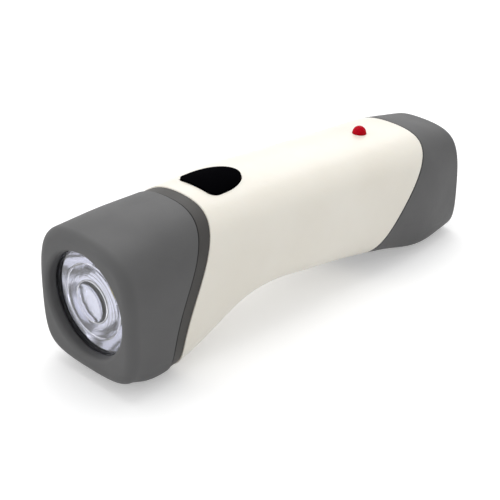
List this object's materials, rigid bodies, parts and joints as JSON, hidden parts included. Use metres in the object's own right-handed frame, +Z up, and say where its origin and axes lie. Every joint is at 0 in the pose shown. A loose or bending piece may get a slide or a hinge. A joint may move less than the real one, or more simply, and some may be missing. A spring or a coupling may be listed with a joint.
{
  "type": "hand crank flashlight",
  "caption": "Waisted handheld lamp with an arched underside, square head, thumb button, tail cap and a folding side crank that drives a small generator.",
  "frame": {"origin": "middle of the length, on the body's middle plane, at the surface it rests on", "axes": "+Z up, -Y the way the lamp shines, crank on the -X side"},
  "size_m": [0.0462, 0.165, 0.0535],
  "materials": {
    "cream_plastic": "glossy moulded, fine flow texture",
    "grey_plastic": "matte moulded",
    "dark_grey_plastic": "matte moulded",
    "black_plastic": "satin moulded",
    "black_rubber": "matte",
    "clear_plastic": "clear polished",
    "reflector_metal": "vacuum metallised",
    "white_plastic": "satin moulded",
    "red_lens": "clear red",
    "yellow_lens": "clear resin over phosphor",
    "green_board": "solder mask",
    "steel": "machined",
    "aluminium": "cast",
    "brass": "turned",
    "copper": "enamelled wire",
    "magnet": "sintered",
    "blue_sleeve": "shrunk film",
    "gear_plastic": "moulded acetal",
    "red_wire": "insulated"
  },
  "bodies": {
    "casing": {"body_casing": "cream_plastic", "crank_cover": "cream_plastic", "front_bezel": "grey_plastic", "head_collar": "dark_grey_plastic", "tail_cap": "grey_plastic", "bezel_gasket": "black_rubber", "tail_gasket": "black_rubber", "lens": "clear_plastic", "lens_ring": "black_rubber", "reflector": "reflector_metal", "reflector_retainer": "white_plastic", "lamp_emitter": "yellow_lens", "lamp_board": "white_plastic", "heat_sink": "aluminium", "lamp_screws": "steel", "tact_switch": "black_plastic", "control_board": "green_board", "diodes": "black_plastic", "capacitor": "blue_sleeve", "control_chip": "black_plastic", "indicator_lamp": "red_lens", "indicator_board": "green_board", "board_screws": "steel", "gearbox_plate": "white_plastic", "gearbox_screws": "steel", "idler_axle": "steel", "generator_can": "steel", "generator_bush": "brass", "generator_screws": "steel", "generator_magnets": "magnet", "generator_end_cap": "black_plastic", "generator_brushes": "copper", "battery_cells": "steel", "battery_sleeve": "blue_sleeve", "battery_strap": "white_plastic", "shaft_bush": "brass", "cover_screws": "steel", "lamp_leads": "red_wire", "generator_leads": "red_wire", "battery_leads": "red_wire", "indicator_leads": "red_wire"},
    "crank": {"crank_arm": "grey_plastic", "crank_screw": "steel", "hub_cap": "grey_plastic", "crank_shaft": "steel", "crank_gear": "gear_plastic", "fold_pin": "steel"},
    "idler": {"idler_gear": "gear_plastic"},
    "rotor": {"rotor_core": "steel", "rotor_windings": "copper", "commutator": "copper", "rotor_shaft": "steel", "generator_pinion": "brass"},
    "pivot": {"knob_pivot": "grey_plastic", "knob_spindle": "steel"},
    "knob": {"crank_knob": "cream_plastic"},
    "button": {"switch_button": "black_plastic", "tact_plunger": "white_plastic"}
  },
  "joints": [
    {"name": "crank_spin", "type": "hinge", "parent": "casing", "child": "crank", "pos_m": [-0.0185, 0.0005, 0.031], "axis": [1, 0, 0], "continuous": true},
    {"name": "idler_spin", "type": "hinge", "parent": "casing", "child": "idler", "pos_m": [-0.008, -0.0157, 0.031], "axis": [1, 0, 0], "continuous": true},
    {"name": "rotor_spin", "type": "hinge", "parent": "casing", "child": "rotor", "pos_m": [0, -0.0319, 0.031], "axis": [1, 0, 0], "continuous": true},
    {"name": "knob_fold", "type": "hinge", "parent": "crank", "child": "pivot", "pos_m": [-0.0196, 0.033, 0.031], "axis": [0, 0, -1], "range_deg": [0, 90]},
    {"name": "knob_spin", "type": "hinge", "parent": "pivot", "child": "knob", "pos_m": [-0.0196, 0.0205, 0.031], "axis": [0, 1, 0], "continuous": true},
    {"name": "switch_press", "type": "slide", "parent": "casing", "child": "button", "axis": [0, 0, -1], "range_m": [0, 0.0008], "stiffness_N_per_m": 1500, "springref_m": -0.0006}
  ],
  "couplings": [
    {"joint": "idler_spin", "follows": "crank_spin", "ratio": -3.5},
    {"joint": "rotor_spin", "follows": "crank_spin", "ratio": 12.25}
  ]
}
